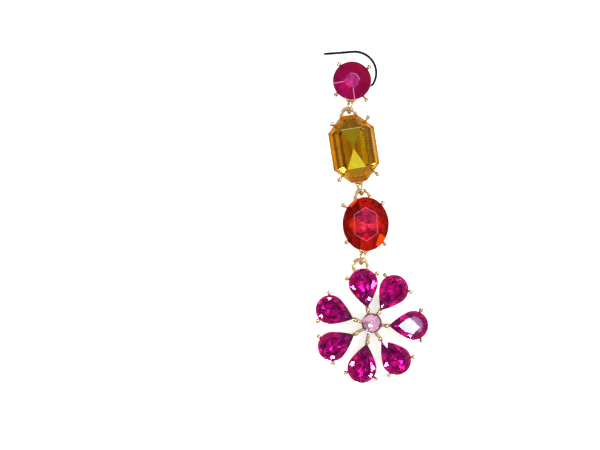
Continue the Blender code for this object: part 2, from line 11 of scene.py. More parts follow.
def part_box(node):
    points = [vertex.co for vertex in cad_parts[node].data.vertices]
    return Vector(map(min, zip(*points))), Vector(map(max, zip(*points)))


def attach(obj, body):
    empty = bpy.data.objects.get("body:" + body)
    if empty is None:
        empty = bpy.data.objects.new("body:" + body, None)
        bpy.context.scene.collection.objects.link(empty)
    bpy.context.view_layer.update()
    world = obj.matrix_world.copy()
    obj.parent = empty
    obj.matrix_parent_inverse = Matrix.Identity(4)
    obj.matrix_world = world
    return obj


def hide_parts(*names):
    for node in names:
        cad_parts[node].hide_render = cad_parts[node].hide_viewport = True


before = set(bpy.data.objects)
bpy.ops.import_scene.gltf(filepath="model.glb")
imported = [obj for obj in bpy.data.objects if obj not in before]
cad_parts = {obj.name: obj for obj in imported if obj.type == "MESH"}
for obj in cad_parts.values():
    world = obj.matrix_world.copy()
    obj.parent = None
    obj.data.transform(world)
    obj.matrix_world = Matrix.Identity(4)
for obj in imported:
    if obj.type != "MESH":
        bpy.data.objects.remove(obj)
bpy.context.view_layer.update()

MM = 0.001
WHITE = (1.0, 1.0, 1.0)

ROUND_DIAMETER = 10.1
ROUND_TABLE = 4.1
ROUND_CROWN = 1.3
ROUND_FIRST_FACET = 32.5
ROUND_FIRST_BACK = 10
# Directions of the round stone's two crown edges that get painted highlight strips
ROUND_GLINT_CORNERS = (190, 280)
OCTAGON_WIDTH = 12.2
OCTAGON_LENGTH = 17.8
OCTAGON_CUT = 4.0
OCTAGON_TABLE_WIDTH = 7.0
OCTAGON_TABLE_LENGTH = 10.6
OCTAGON_TABLE_CUT = 0.95
OCTAGON_CROWN = 1.7
OCTAGON_STEP_IN = 0.4
OCTAGON_STEP_UP = 0.62
OCTAGON_END_SLOPE = math.radians(17)
OVAL_WIDTH = 12.2
OVAL_LENGTH = 14.3
OVAL_CROWN = 1.6
OVAL_TABLE_SIDE = 2.95
OVAL_TABLE_END = 3.77
OVAL_TABLE_TURNS = (0, 57.9, 122.1, 180, 237.9, 302.1)
OVAL_FACET_DEPTH = 0.34
OVAL_FACET_RUN = 3.1
PETAL_WIDTH = 7.7
PETAL_LENGTH = 10.4
PETAL_TABLE_INSET = 1.6
PETAL_CROWN = 1.1
PETAL_UPPER_BREAK = (0.4, 0.52)
PETAL_LOWER_BREAK = (0.7, 0.384)
PETAL_BACK_START = 0.12
CROWN_BREAK = 0.2
CENTER_DIAMETER = 5.3
CENTER_TABLE = 2.8
CENTER_CROWN = 0.9
CENTER_FIRST_FACET = 22.5
CENTER_FIRST_BACK = 10
CENTER_BACK_DEPTHS = (0.28, 0.40)
# Widths of the painted highlight strips along table edges, and the depth of the cuts for the round stone's
# two strips at crown edges
GLINT_STRIP_WIDTH = 0.035
ROUND_GLINT_STRIP_WIDTH = 0.045
ROUND_GLINT_CORNER_DEPTH = 0.012
UNCUT_DEPTH = 0.5
GIRDLE = 0.3
PAVILION_SLOPE = math.radians(32)
PEAR_STRAIGHTNESS = 0.75

ROUND_CUP_HEIGHT = 3.7
MAIN_CUP_HEIGHT = 4.9
FLOWER_CUP_HEIGHT = 3.4
MAIN_FOOT_INSET = 1.6
PETAL_FOOT_INSET = 1.1
CENTER_FOOT_INSET = 0.6
MAIN_FLARE = 1.6
PETAL_FLARE = 1.0
CENTER_FLARE = 0.6
CUP_WALL = 0.45
RIM_WIDTH = 0.15
RIM_LIP = 0.05
RIM_DROP = 0.06
FOOT_ROUNDING = 0.08
FLARE_BOW = 0.08
SEAT_LIFT = 0.4
STONE_GAP = 0.3

PRONG_RADIUS = 0.3
BEAD_RADIUS = 0.59
PRONG_REACH = 0.65
PRONG_RISE = 0.65
PRONG_START = 0.5
PRONG_FOOT_SHARE = 1.15
PRONG_TAPER = 0.25
INNER_PRONG_RADII = (0.3, 0.28, 0.26)
PETAL_PRONG_ANGLE = math.radians(64)

RING_WIRE = 0.7
RING_DIAMETER = 4.6
RING_TILT = math.radians(76)
RING_NICK = 5
RING_NICK_SHARE = 0.82
TOP_LOOP_WIRE = 1.0
TOP_LOOP_DIAMETER = 4.8
BOTTOM_LOOP_WIRE = 0.7
BOTTOM_LOOP_DIAMETER = 3.0
BOTTOM_LOOP_INSET = 0.6
ROUND_LOOP_LIFT = 0.6
OVAL_LOOPS_LEFT = 0.6
FLOWER_LOOP_OUT = 0.6
LINK_GAP = 0.3

PETAL_COUNT = 7
PETAL_TIP_RADIUS = 4.95
PETAL_TURNS = (-4, 5, 0, -2, 1, 2, 3)
CENTER_RIGHT = 0.5
CENTER_UP = 0.6
STEM_WIDTH = 0.9
STEM_HEIGHT = 1.5
STEM_LIFT = 0.3
STEM_SQUARENESS = 0.6

HOOK_WIRE = 0.7
HOOK_WIRE_SHARE = 0.9
HOOK_RADIUS = 5.7
HOOK_CENTER_RIGHT = 0.8
HOOK_CENTER_UP = 2.3
HOOK_TAIL = 7.5
HOOK_TAIL_RISE = math.radians(4.6)
HOOK_ARC_END = math.radians(-30)
HOOK_TURN = 1.3
HOOK_EYE_RADIUS = 1.35
HOOK_EYE_TURN = math.radians(295)
BACK_LOOP_WIRE = 0.8
BACK_LOOP_SHARE = 0.97

LEANS = {
    "round": math.radians(-2),
    "octagon": math.radians(9),
    "oval": math.radians(2),
    "flower": math.radians(13.5),
}
RING_LEANS = (math.radians(-9), math.radians(12), math.radians(-12))

ROUND_PRONGS = ((41, 1.0), (131, 0.9), (223, 0.9), (308, 1.9))
OCTAGON_PRONGS = ((58, 1.7), (122, 1.0), (238, 1.9), (302, 1.9))
OVAL_PRONGS = ((50, 0.9), (137, 1.9), (222, 0.9), (311, 0.9))

RING_RADIUS = (RING_DIAMETER - RING_WIRE) / 2
LOOP_HEIGHT = RING_RADIUS * math.sin(RING_TILT) + RING_WIRE / 2
BACK_LOOP_RADIUS = (HOOK_WIRE + BACK_LOOP_WIRE) / 2 + LINK_GAP
EYE_HEIGHT = BACK_LOOP_WIRE / 2 + BACK_LOOP_RADIUS
ROUND_BASE = EYE_HEIGHT + HOOK_WIRE / 2 + LINK_GAP
FLOWER_LOOP_RADIUS = PETAL_TIP_RADIUS + PETAL_LENGTH + FLOWER_LOOP_OUT


# Outlines of the stones, anticlockwise, moved outward by grow


def oval_outline(width, length, grow=0.0, sides=96):
    angles = [2 * math.pi * i / sides for i in range(sides)]
    return [Vector(((width / 2 + grow) * math.cos(a), (length / 2 + grow) * math.sin(a))) for a in angles]


def round_outline(diameter):
    return lambda grow=0.0: oval_outline(diameter, diameter, grow)


def oval_stone_outline(grow=0.0):
    return oval_outline(OVAL_WIDTH, OVAL_LENGTH, grow)


def octagon_outline(grow=0.0):
    x = OCTAGON_WIDTH / 2 + grow
    y = OCTAGON_LENGTH / 2 + grow
    cut = OCTAGON_CUT + grow * (2 - math.sqrt(2))
    quarter = ((x, y - cut), (x - cut, y))
    points = list(quarter) + [(-px, py) for px, py in reversed(quarter)]
    return [Vector(p) for p in points] + [Vector((-px, -py)) for px, py in points]


def pear_outline(grow=0.0, head_steps=44, side_steps=12):
    radius = PETAL_WIDTH / 2
    tip = PETAL_LENGTH - radius
    start = PEAR_STRAIGHTNESS * math.asin(radius / tip)
    back = (tip**2 - radius**2) / (2 * (radius - tip * math.sin(start)))
    radius += grow
    reach = math.sqrt((radius + back) ** 2 - (back * math.cos(start)) ** 2)
    end = math.atan2(reach, back * math.cos(start))
    side = []
    for i in range(1, side_steps + 1):
        angle = -end + (end - start) * i / (side_steps + 1)
        center = Vector((-back * math.cos(start), back * math.sin(start)))
        side.append(center + (radius + back) * way(angle))
    head = []
    for i in range(head_steps + 1):
        angle = -start + (math.pi + 2 * start) * i / head_steps
        head.append(radius * way(angle))
    mirrored = [Vector((-p.x, p.y)) for p in reversed(side)]
    return [Vector((0, back * math.sin(start) - reach))] + side + head + mirrored


def edge_at(outline, angle):
    """Where a ray from the origin leaves the outline, and the outward direction there."""
    ray = way(angle)
    for a, b in zip(outline, outline[1:] + outline[:1]):
        side = b - a
        bottom = ray.cross(side)
        if abs(bottom) < 1e-12:
            continue
        along_ray = a.cross(side) / bottom
        along_side = a.cross(ray) / bottom
        if along_ray > 0 and -1e-9 <= along_side <= 1 + 1e-9:
            return ray * along_ray, Vector((side.y, -side.x)).normalized()
    raise ValueError("the outline doesn't go round the origin")


def way(angle):
    return Vector((math.cos(angle), math.sin(angle)))


def degrees(*angles):
    return [math.radians(a) for a in angles]


# Metal shapes, each added to a bmesh


def add_loft(bm, rings):
    """A skin through rings with the same number of points, closed at both ends."""
    rows = [[bm.verts.new(p) for p in ring] for ring in rings]
    for low, high in zip(rows, rows[1:]):
        for i in range(len(low)):
            j = (i + 1) % len(low)
            bm.faces.new((low[i], low[j], high[j], high[i]))
    bm.faces.new(list(reversed(rows[0])))
    bm.faces.new(rows[-1])


def smooth_path(points, steps):
    """A Catmull-Rom curve through the points."""
    ends = [2 * points[0] - points[1]] + list(points) + [2 * points[-1] - points[-2]]
    path = []
    for a, b, c, d in zip(ends, ends[1:], ends[2:], ends[3:]):
        for i in range(steps):
            t = i / steps
            bend = (2 * a - 5 * b + 4 * c - d) * t**2 + (3 * b - a - 3 * c + d) * t**3
            path.append(0.5 * (2 * b + (c - a) * t + bend))
    return path + [points[-1].copy()]


def add_tube(bm, path, radii, sides=12):
    """A wire along the path with a radius at each point and domed ends."""
    tangents = [(b - a).normalized() for a, b in zip(path, path[1:])]
    between = [(a + b).normalized() for a, b in zip(tangents, tangents[1:])]
    spine = list(zip(path, radii, [tangents[0]] + between + [tangents[-1]]))

    def dome(point, radius, tangent, side):
        steps = degrees(25, 50, 75)
        return [(point + side * tangent * radius * math.sin(a), radius * math.cos(a), tangent) for a in steps]

    across = tangents[0].orthogonal().normalized()
    turns = [2 * math.pi * i / sides for i in range(sides)]
    rings = []
    for point, radius, tangent in dome(*spine[0], -1)[::-1] + spine + dome(*spine[-1], 1):
        across = (across - tangent * across.dot(tangent)).normalized()
        other = tangent.cross(across)
        rings.append([point + radius * (across * math.cos(a) + other * math.sin(a)) for a in turns])
    add_loft(bm, rings)


def add_torus(bm, radius, wire, turn, steps=56, sides=14, nick=None):
    """A ring of wire; nick is the step where its two ends meet, a fine groove across the wire."""
    rows = []
    for i in range(steps):
        a = 2 * math.pi * i / steps
        half = wire / 2 * (RING_NICK_SHARE if i == nick else 1.0)
        out = Vector((math.cos(a), math.sin(a), 0))
        row = []
        for k in range(sides):
            b = 2 * math.pi * k / sides
            point = out * (radius + half * math.cos(b)) + Vector((0, 0, half * math.sin(b)))
            row.append(bm.verts.new(turn @ point))
        rows.append(row)
    for i in range(steps):
        low, high = rows[i], rows[(i + 1) % steps]
        for k in range(sides):
            n = (k + 1) % sides
            bm.faces.new((low[k], high[k], high[n], low[n]))


def add_bead(bm, center):
    """A prong's tip, in the setting's second slot: a darker copy of the gold with painted shade."""
    made = bmesh.ops.create_uvsphere(
        bm, u_segments=20, v_segments=14, radius=BEAD_RADIUS, matrix=Matrix.Translation(center)
    )
    for vert in made["verts"]:
        for face in vert.link_faces:
            face.material_index = 1


class Cup:
    """A cup of this height under a stone's outline, with the upright foot set in and the rim flared."""

    def __init__(self, outline, height, foot_inset, flare, half_width):
        self.outline = outline
        self.height = height
        self.foot_inset = foot_inset
        self.foot_top = height - flare
        self.girdle = height + SEAT_LIFT
        self.top = self.girdle + GIRDLE
        self.culet = self.girdle - half_width * math.tan(PAVILION_SLOPE)

    def add_wall(self, bm, turn):
        """The cup's skin: up the outside, over a rounded rim and down the inside to its floor."""
        inset = self.foot_inset
        rise = self.girdle - RIM_DROP - self.foot_top
        profile = [(-inset + FOOT_ROUNDING, 0.0), (-inset, FOOT_ROUNDING)]
        profile.append((-inset, self.foot_top - 0.1 * rise))
        for share in (0.12, 0.3, 0.5, 0.7, 0.9):
            bow = FLARE_BOW * math.sin(math.pi * share)
            profile.append((-inset + (inset + RIM_LIP) * share, self.foot_top + rise * (share - bow)))
        profile += [(RIM_LIP, self.girdle - 0.14), (RIM_LIP, self.girdle - RIM_LIP)]
        profile += [(0.0, self.girdle - RIM_DROP / 2), (-RIM_DROP, self.girdle - RIM_DROP)]
        profile += [(-inset - STONE_GAP, self.foot_top), (-inset - CUP_WALL, self.culet - STONE_GAP)]
        rings = [[turn @ Vector((*p, z)) for p in self.outline(grow)] for grow, z in profile]
        add_loft(bm, rings)

    def add_prong(self, bm, angle, share, turn):
        reach = PRONG_REACH * share
        edge, out = edge_at(self.outline(0), angle)

        def at(offset, z):
            return Vector((*(edge + out * offset), z))

        knots = (
            at(-self.foot_inset, PRONG_START),
            at(-self.foot_inset, self.foot_top),
            at(RIM_WIDTH / 2, self.height - PRONG_RADIUS),
            at(max(reach, PRONG_RADIUS + STONE_GAP), self.height + PRONG_RADIUS / 2),
            at(reach, self.top + PRONG_RISE),
        )
        path = [turn @ p for p in smooth_path(knots, 5)]
        shares = [PRONG_FOOT_SHARE - PRONG_TAPER * i / len(path) for i in range(len(path))]
        add_tube(bm, path, [PRONG_RADIUS * share for share in shares], sides=10)
        add_bead(bm, turn @ knots[-1])


def shaded(bm, name, angle=40):
    """The finished mesh in metres, smooth except across edges sharper than angle."""
    bmesh.ops.recalc_face_normals(bm, faces=bm.faces)
    bmesh.ops.scale(bm, vec=(MM, MM, MM), verts=bm.verts)
    for face in bm.faces:
        face.smooth = True
    mesh = bpy.data.meshes.new(name)
    bm.to_mesh(mesh)
    bm.free()
    mesh.set_sharp_from_angle(angle=math.radians(angle))
    return mesh


def dress(name, mesh, node, finishes, place):
    """A piece in place of one CAD node."""
    obj = bpy.data.objects.new(name, mesh)
    bpy.context.scene.collection.objects.link(obj)
    for finish in finishes:
        mesh.materials.append(finish)
    mesh.transform(place)
    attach(obj, "root")
    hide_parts(node)
    return obj


def node_place(stone, base, lean):
    """Local millimetres of the cup under this stone to the frame."""
    low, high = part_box(stone)
    middle = (low + high) / 2
    return Matrix.Translation((middle.x, middle.y, base * MM)) @ Matrix.Rotation(lean, 4, "Z")


# Stones: sawn from an upright prism by one plane for each facet


def farthest(outline, direction):
    return max(p.dot(direction) for p in outline)


# The material slots of a stone; the glint slot holds painted highlights and the flash slot a painted flash
CROWN_SLOT = 0
BACK_SLOT = 1
GLINT_SLOT = 2
BAND_SLOT = 3
OWN_SLOT = 4
FLASH_SLOT = 5


class Stone:
    """A stone cut plane by plane, with a tint for each facet that also paints in its highlights and shade;
    what is left of its sides is the band.
    """

    def __init__(self, outline, culet, girdle, table, table_slot=CROWN_SLOT):
        self.girdle = girdle
        self.top = girdle + GIRDLE
        self.table = table
        self.depth = girdle - culet
        self.bm = bmesh.new()
        self.layer = self.bm.loops.layers.float_color.new("facet_tint_and_painted_light")
        add_loft(self.bm, [[Vector((*p, z)) for p in outline] for z in (culet - UNCUT_DEPTH, table)])
        for face in self.bm.faces:
            level = face.calc_center_median().z > table - 1e-6
            face.material_index = table_slot if level else BAND_SLOT
        self.paint(self.bm.faces, WHITE)

    def paint(self, faces, color):
        for face in faces:
            for loop in face.loops:
                loop[self.layer] = (*color, 1.0)

    def saw(self, point, normal, slot, color):
        bm = self.bm
        whole = bm.verts[:] + bm.edges[:] + bm.faces[:]
        bmesh.ops.bisect_plane(
            bm, geom=whole, dist=1e-6, plane_co=point, plane_no=normal, clear_outer=True
        )
        border = [e for e in bm.edges if e.is_boundary]
        if not border:
            return
        made = bmesh.ops.contextual_create(bm, geom=border)["faces"]
        for face in made:
            face.material_index = slot
        self.paint(made, color)

    def crown(self, angle, outer, inner, low=0.0, high=1.0, tint_and_painted_light=WHITE, slot=CROWN_SLOT):
        """A facet through two distances from the axis, at shares low and high of the crown's height."""
        out = way(angle)
        crown = self.table - self.top
        normal = Vector((*(out * crown * (high - low)), outer - inner)).normalized()
        self.saw(Vector((*(out * outer), self.top + crown * low)), normal, slot, tint_and_painted_light)

    def painted_glint_edge(self, angle, at_table, slope, width):
        """A fine strip along a table's edge in the glint slot: a painted highlight."""
        out = way(angle)
        normal = Vector((*(out * math.sin(slope / 2)), math.cos(slope / 2)))
        self.saw(Vector((*(out * (at_table - width)), self.table)), normal, GLINT_SLOT, WHITE)

    def back(self, angle, outer, low=0.0, inner=0.0, high=1.0, tint_and_painted_light=WHITE, slot=BACK_SLOT):
        """A facet through two distances from the axis, at shares low and high of the back's depth."""
        out = way(angle)
        normal = Vector((*(out * self.depth * (high - low)), inner - outer)).normalized()
        self.saw(Vector((*(out * outer), self.girdle - self.depth * low)), normal, slot, tint_and_painted_light)

    def finish(self, name):
        bm = self.bm
        bmesh.ops.recalc_face_normals(bm, faces=bm.faces)
        bmesh.ops.scale(bm, vec=(MM, MM, MM), verts=bm.verts)
        mesh = bpy.data.meshes.new(name)
        bm.to_mesh(mesh)
        bm.free()
        return mesh


# Facets' tints, painted highlights and shade that stand in for reflections, apart from the oval's crown tint:
# the round stone's in order, the others' by their direction in degrees
ROUND_PAINTED_LIGHT = (
    (0.65, 0.5, 0.15),
    (0.75, 0.6, 0.2),
    (0.95, 1.0, 0.7),
    (0.85, 1.0, 0.9),
    WHITE,
    WHITE,
    (0.75, 0.7, 0.35),
    (0.6, 0.45, 0.15),
)
OCTAGON_PAINTED_LIGHT = {
    0: (0.5, 0.33, 0.1),
    45: (0.9, 0.5, 0.2),
    90: (1.0, 0.4, 0.15),
    135: (1.0, 0.62, 0.25),
    180: (1.0, 0.85, 0.3),
    225: (1.0, 0.9, 0.6),
    270: (1.0, 0.42, 0.2),
    315: (1.0, 0.7, 0.4),
}
# Painted highlight and shade on the amber stone's back facets, and on its steps and corners
OCTAGON_BACK_PAINTED_LIGHT = {0: (0.75, 0.5, 0.25), 90: (0.3, 0.27, 0.2), 180: (0.75, 0.45, 0.15), 270: WHITE}
OCTAGON_STEP_PAINTED_LIGHT = (1.0, 0.85, 0.5)
# The oval's crown colour, and two crown facets painted paler
OVAL_TINT = (1.0, 0.12, 0.5)
OVAL_PALE_TINTS = {345: (0.95, 0.5, 0.5), 10: (0.95, 0.35, 0.6)}
# Painted highlight and shade on the middle stone's back facets, in order
CENTER_BACK_PAINTED_LIGHT = (1.0, 0.3, 0.75, 1.0, 0.35, 0.7, 0.95, 0.25)

# Depths of the oval's two facets that show a painted orange flash, an opaque colour in the flash slot, by
# their directions
OVAL_FLASHES = {318: 0.42, 128: 0.24}


def cut_round(cup):
    table_height = cup.top + ROUND_CROWN
    stone = Stone(cup.outline(), cup.culet, cup.girdle, table_height, OWN_SLOT)
    radius = ROUND_DIAMETER / 2
    corner = math.cos(math.pi / 8)
    table = ROUND_TABLE / 2 * corner
    slope = math.atan2(ROUND_CROWN, radius - table)
    for i, tint_and_painted_light in enumerate(ROUND_PAINTED_LIGHT):
        a = math.radians(ROUND_FIRST_FACET + 45 * i)
        stone.crown(a, radius, table, tint_and_painted_light=tint_and_painted_light)
        # The first two facets get a painted highlight strip along the table's edge
        if i < 2:
            stone.painted_glint_edge(a, table, slope, ROUND_GLINT_STRIP_WIDTH)
    # Two thin strips at crown edges in the glint slot: painted highlights
    glint_share = ROUND_GLINT_CORNER_DEPTH / ROUND_CROWN
    for a in degrees(*ROUND_GLINT_CORNERS):
        stone.crown(a, radius / corner, table / corner, -glint_share, 1 - glint_share, slot=GLINT_SLOT)
    # The two back facets under the lower left stay white and the rest are darker: a painted bright wedge
    for i in range(8):
        tint_and_painted_light = WHITE if i in (4, 5) else (0.85, 0.8, 0.7)
        stone.back(math.radians(ROUND_FIRST_BACK + 45 * i), radius, tint_and_painted_light=tint_and_painted_light)
    return stone.finish("round_stone_cut")


def octagon_distances(width, length, cut):
    """How far its sides, corners and ends are from the middle, for each eighth of a turn."""
    corner = (width / 2 + length / 2 - cut) / math.sqrt(2)
    return (width / 2, corner, length / 2, corner)


def cut_octagon(cup):
    stone = Stone(cup.outline(), cup.culet, cup.girdle, cup.top + OCTAGON_CROWN)
    girdle = octagon_distances(OCTAGON_WIDTH, OCTAGON_LENGTH, OCTAGON_CUT)
    table = octagon_distances(OCTAGON_TABLE_WIDTH, OCTAGON_TABLE_LENGTH, OCTAGON_TABLE_CUT)
    for angle, tint_and_painted_light in OCTAGON_PAINTED_LIGHT.items():
        a = math.radians(angle)
        outer, inner = girdle[angle // 45 % 4], table[angle // 45 % 4]
        middle = outer + (inner - outer) * OCTAGON_STEP_IN
        stone.crown(a, outer, middle, 0.0, OCTAGON_STEP_UP, tint_and_painted_light)
        stone.crown(a, middle, inner, OCTAGON_STEP_UP, 1.0, tint_and_painted_light)
        # A painted highlight strip along the table's top and upper right edges
        if angle in (45, 90):
            slope = math.atan2((1 - OCTAGON_STEP_UP) * OCTAGON_CROWN, middle - inner)
            stone.painted_glint_edge(a, inner, slope, GLINT_STRIP_WIDTH)
        if angle % 90:
            stone.back(a, outer, 0.0, outer / 2, 1.0, OCTAGON_STEP_PAINTED_LIGHT, OWN_SLOT)
        elif angle % 180:
            level = 1 - outer * math.tan(OCTAGON_END_SLOPE) / stone.depth
            stone.back(a, outer, level, 0.0, 1.0, OCTAGON_BACK_PAINTED_LIGHT[angle])
            stone.back(a, outer, 0.0, outer - stone.depth, 1.0, OCTAGON_STEP_PAINTED_LIGHT, OWN_SLOT)
        else:
            stone.back(a, outer, tint_and_painted_light=OCTAGON_BACK_PAINTED_LIGHT[angle])
    return stone.finish("octagon_stone_cut")


def cut_oval(cup):
    outline = cup.outline()
    stone = Stone(outline, cup.culet, cup.girdle, cup.top + OVAL_CROWN, OWN_SLOT)
    for angle in OVAL_TABLE_TURNS:
        a = math.radians(angle)
        outer = farthest(outline, way(a))
        inner = OVAL_TABLE_END if angle % 180 else OVAL_TABLE_SIDE
        stone.crown(a, outer, inner, CROWN_BREAK, 1.0, OVAL_TINT)
        # A painted highlight strip along each side of the table
        stone.painted_glint_edge(a, inner, math.atan2((1 - CROWN_BREAK) * OVAL_CROWN, outer - inner), GLINT_STRIP_WIDTH)
    for angle in (10, 40, 70, 98, 128, 155, 182, 208, 235, 262, 290, 318, 345):
        a = math.radians(angle)
        outer = farthest(outline, way(a))
        depth = OVAL_FLASHES.get(angle, OVAL_FACET_DEPTH)
        inner, high = outer - OVAL_FACET_RUN * depth, CROWN_BREAK + (1 - CROWN_BREAK) * depth
        slot = FLASH_SLOT if angle in OVAL_FLASHES else CROWN_SLOT
        stone.crown(a, outer, inner, 0.0, high, OVAL_PALE_TINTS.get(angle, OVAL_TINT), slot)
    for angle in (15, 50, 90, 130, 165, 195, 230, 270, 310, 345):
        a = math.radians(angle)
        shade = 0.85 + 0.15 * math.cos(3.7 * angle)
        stone.back(a, farthest(outline, way(a)), tint_and_painted_light=(shade, shade, shade))
    return stone.finish("oval_stone_cut")


# The petal with the bright table, and for every petal the directions of its crown facets that flash
# and how large each flash is in millimetres
SHEEN_PETAL = 3
SPARKLES = {
    1: {195: 1.3, 318: 1.2},
    2: {222: 1.2},
    3: {345: 1.2},
    4: {222: 2.2, 345: 1.4},
    5: {345: 1.8, 150: 1.4, 195: 1.2},
    6: {150: 1.4},
    7: {150: 1.2, 30: 1.0},
}


def cut_petal(cup, number):
    """A petal's stone, and its flashes as points, directions, tilts and sizes."""
    outline = cup.outline()
    chance = random.Random(number)
    slot = OWN_SLOT if number == SHEEN_PETAL else CROWN_SLOT
    stone = Stone(outline, cup.culet, cup.girdle, cup.top + PETAL_CROWN, slot)
    inner = cup.outline(-PETAL_TABLE_INSET)
    flashes = []
    # Each facet gets a random tint: painted light and shade that stand in for reflections
    for angle in (30, 75, 105, 150, 195, 222, 318, 345):
        a = math.radians(angle + chance.uniform(-5, 5))
        far, near = farthest(outline, way(a)), farthest(inner, way(a))
        shade = chance.uniform(0.7, 1.0)
        stone.crown(a, far, near, CROWN_BREAK, 1.0, (shade, shade, chance.uniform(0.45, 1.0)))
        if angle in SPARKLES[number]:
            ends = [max(loop, key=way(a).dot) for loop in (outline, inner)]
            height = stone.top + (1 + CROWN_BREAK) / 2 * PETAL_CROWN
            point = Vector((*((ends[0] + ends[1]) / 2), height))
            tilt = math.atan2((1 - CROWN_BREAK) * PETAL_CROWN, far - near)
            flashes.append((point, a, tilt, SPARKLES[number][angle]))
    for a in degrees(8, 52, 90, 128, 172, 208, 332):
        far, near = farthest(outline, way(a)), farthest(inner, way(a))
        share, high = PETAL_UPPER_BREAK
        stone.crown(a, far, far + (near - far) * share, 0.0, high, (1, 1, chance.uniform(0.5, 1.0)))
    for a in degrees(0, 28, 60, 90, 120, 152, 180, 205, 228, 312, 335):
        a += math.radians(chance.uniform(-6, 6))
        shade = chance.uniform(0.6, 1.0)
        tint_and_painted_light = (shade, 0.9 * shade, shade)
        stone.back(a, farthest(outline, way(a)), PETAL_BACK_START, 0.0, 1.0, tint_and_painted_light)
    for a in degrees(14, 44, 75, 105, 136, 166, 192, 216, 324, 348):
        far = farthest(outline, way(a))
        share, high = PETAL_LOWER_BREAK
        stone.back(a, far, 0.0, far * share, high, (1, 0.95, 1))
    return stone.finish(f"petal_stone_cut_{number}"), flashes


def cut_center(cup):
    stone = Stone(cup.outline(), cup.culet, cup.girdle, cup.top + CENTER_CROWN)
    radius = CENTER_DIAMETER / 2
    table = CENTER_TABLE / 2 * math.cos(math.pi / 8)
    for i in range(8):
        tint_and_painted_light = WHITE if i % 3 else (0.95, 0.7, 0.85)
        stone.crown(math.radians(CENTER_FIRST_FACET + 45 * i), radius, table, tint_and_painted_light=tint_and_painted_light)
    # Back facets painted light and dark in turn, drawing dark lines
    for i, shade in enumerate(CENTER_BACK_PAINTED_LIGHT):
        tint_and_painted_light = (shade, 0.75 * shade, 0.85 * shade)
        a = math.radians(CENTER_FIRST_BACK + 45 * i)
        stone.back(a, radius, high=CENTER_BACK_DEPTHS[i % 2], tint_and_painted_light=tint_and_painted_light)
    return stone.finish("center_stone_cut")


# Materials

METAL_GRAIN_DEPTH = 0.05 * MM


def new_material(name):
    made = bpy.data.materials.new(name)
    made.use_nodes = True
    return made, made.node_tree.nodes, made.node_tree.links, made.node_tree.nodes["Principled BSDF"]


def noise_mix(nodes, links, scale, low, high, detail=3.0, start=0.35, end=0.65):
    """Noise in object space, as a ramp between two colours or grey values."""
    place = nodes.new("ShaderNodeTexCoord")
    noise = nodes.new("ShaderNodeTexNoise")
    noise.inputs["Scale"].default_value = scale
    noise.inputs["Detail"].default_value = detail
    links.new(place.outputs["Object"], noise.inputs["Vector"])
    ramp = nodes.new("ShaderNodeValToRGB")
    ramp.color_ramp.elements[0].position = start
    ramp.color_ramp.elements[1].position = end
    ramp.color_ramp.elements[0].color = (*low, 1)
    ramp.color_ramp.elements[1].color = (*high, 1)
    links.new(noise.outputs["Fac"], ramp.inputs["Fac"])
    return ramp.outputs["Color"]


def grey(value):
    return (value, value, value)


def multiplied(nodes, links, first, second):
    mix = nodes.new("ShaderNodeMix")
    mix.data_type = "RGBA"
    mix.blend_type = "MULTIPLY"
    mix.inputs["Factor"].default_value = 1.0
    links.new(first, mix.inputs["A"])
    links.new(second, mix.inputs["B"])
    return mix.outputs["Result"]


def metal(name, dark, light, rim, rough_low, rough_high, bump, sides=1.0):
    """Polished metal; rim is its colour seen edge on, and sides is how dark its steep sides are painted, a
    painted shade.
    """
    made, nodes, links, shader = new_material(name)
    shader.inputs["Metallic"].default_value = 1.0
    shader.inputs["Specular Tint"].default_value = (*rim, 1.0)
    # Painted shade: the base colour is multiplied by sides where the surface is steep, rising to full where
    # it faces up
    lie = nodes.new("ShaderNodeNewGeometry")
    split = nodes.new("ShaderNodeSeparateXYZ")
    links.new(lie.outputs["Normal"], split.inputs["Vector"])
    shade = nodes.new("ShaderNodeMapRange")
    shade.inputs["From Min"].default_value = 0.15
    shade.inputs["From Max"].default_value = 0.8
    shade.inputs["To Min"].default_value = sides
    links.new(split.outputs["Z"], shade.inputs["Value"])
    color = multiplied(nodes, links, noise_mix(nodes, links, 900, dark, light), shade.outputs["Result"])
    links.new(color, shader.inputs["Base Color"])
    rough = noise_mix(nodes, links, 2200, grey(rough_low), grey(rough_high), detail=5)
    links.new(rough, shader.inputs["Roughness"])
    relief = nodes.new("ShaderNodeBump")
    relief.inputs["Strength"].default_value = bump
    relief.inputs["Distance"].default_value = METAL_GRAIN_DEPTH
    links.new(noise_mix(nodes, links, 1500, grey(0), grey(1), detail=4), relief.inputs["Height"])
    links.new(relief.outputs["Normal"], shader.inputs["Normal"])
    return made


def tinted(nodes, links, color):
    """The colour times its facet's tint, which holds the facet's painted highlight and shade."""
    tint_and_painted_light = nodes.new("ShaderNodeAttribute")
    tint_and_painted_light.attribute_name = "facet_tint_and_painted_light"
    return multiplied(nodes, links, tint_and_painted_light.outputs["Color"], color)


def glass(name, deep, pale, gloss, grain=0.0, ior=1.53, mirror=0.5):
    """Clear coloured glass; gloss tints what its surface mirrors, grain roughens it in fine specks."""
    made, nodes, links, shader = new_material(name)
    shader.inputs["Transmission Weight"].default_value = 1.0
    shader.inputs["IOR"].default_value = ior
    shader.inputs["Specular IOR Level"].default_value = mirror
    shader.inputs["Specular Tint"].default_value = (*gloss, 1.0)
    mottled = noise_mix(nodes, links, 250, deep, pale)
    links.new(tinted(nodes, links, mottled), shader.inputs["Base Color"])
    if grain:
        rough = noise_mix(nodes, links, 3500, grey(0.0), grey(grain), detail=2, start=0.45, end=0.6)
        links.new(rough, shader.inputs["Roughness"])
    else:
        shader.inputs["Roughness"].default_value = 0.0
    return made


